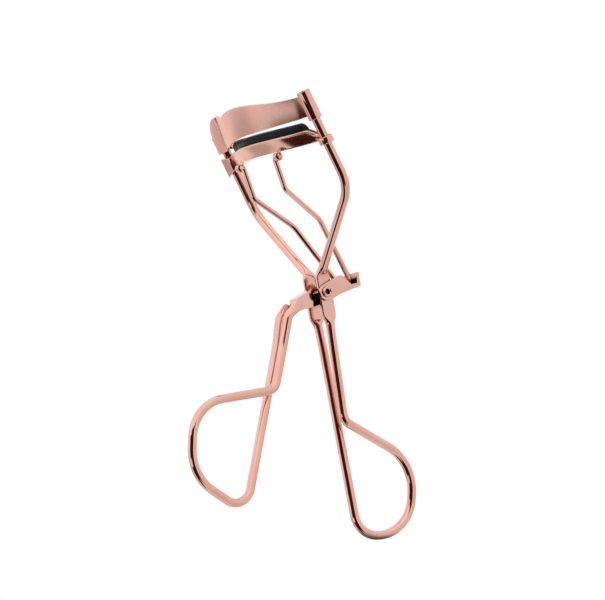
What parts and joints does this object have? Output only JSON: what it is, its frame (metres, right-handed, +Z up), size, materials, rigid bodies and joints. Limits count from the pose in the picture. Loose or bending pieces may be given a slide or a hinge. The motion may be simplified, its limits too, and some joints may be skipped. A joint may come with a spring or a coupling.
{
  "type": "eyelash curler",
  "caption": "Hand-held eyelash curler of bent wire: a lever with a finger loop slides a padded lower jaw up two rails to a fixed curved jaw.",
  "frame": {"origin": "on the floor plane under the finger loops, at the middle of the bounding box in x and y", "axes": "+Z up from the finger loops to the jaws, +X along the pivot and across the jaws, -Y the side the jaws bulge and lean towards"},
  "size_m": [0.0446, 0.06, 0.0979],
  "materials": {
    "polished_metal": "polished rose-gold plating on bent steel wire",
    "satin_metal": "satin rose-gold plating on stamped sheet steel",
    "pad_rubber": "smooth black silicone rubber"
  },
  "bodies": {
    "frame": {"frame_wire": "polished_metal", "upper_jaw": "satin_metal"},
    "lever": {"lever_socket": "satin_metal", "lever_clip": "satin_metal", "lever_handle": "polished_metal", "pivot_rivet": "polished_metal"},
    "lower_jaw": {"lower_jaw": "satin_metal", "pad": "pad_rubber"},
    "yoke": {"yoke_wire": "polished_metal"}
  },
  "joints": [
    {"name": "lever_pivot", "type": "hinge", "parent": "frame", "child": "lever", "pos_m": [0, 0.00412, 0.05496], "axis": [1, 0, 0], "range_deg": [-36, 6]},
    {"name": "jaw_slide", "type": "slide", "parent": "frame", "child": "lower_jaw", "axis": [0, -0.5, 0.866], "range_m": [-0.0049, 0.0008]},
    {"name": "yoke_hinge", "type": "hinge", "parent": "lower_jaw", "child": "yoke", "pos_m": [0, -0.01146, 0.08405], "axis": [1, 0, 0], "range_deg": [-5, 2]}
  ],
  "couplings": [
    {"joint": "jaw_slide", "follows": "lever_pivot", "m_per_rad": 0.00698},
    {"joint": "yoke_hinge", "follows": "lever_pivot", "ratio": 0.07}
  ]
}
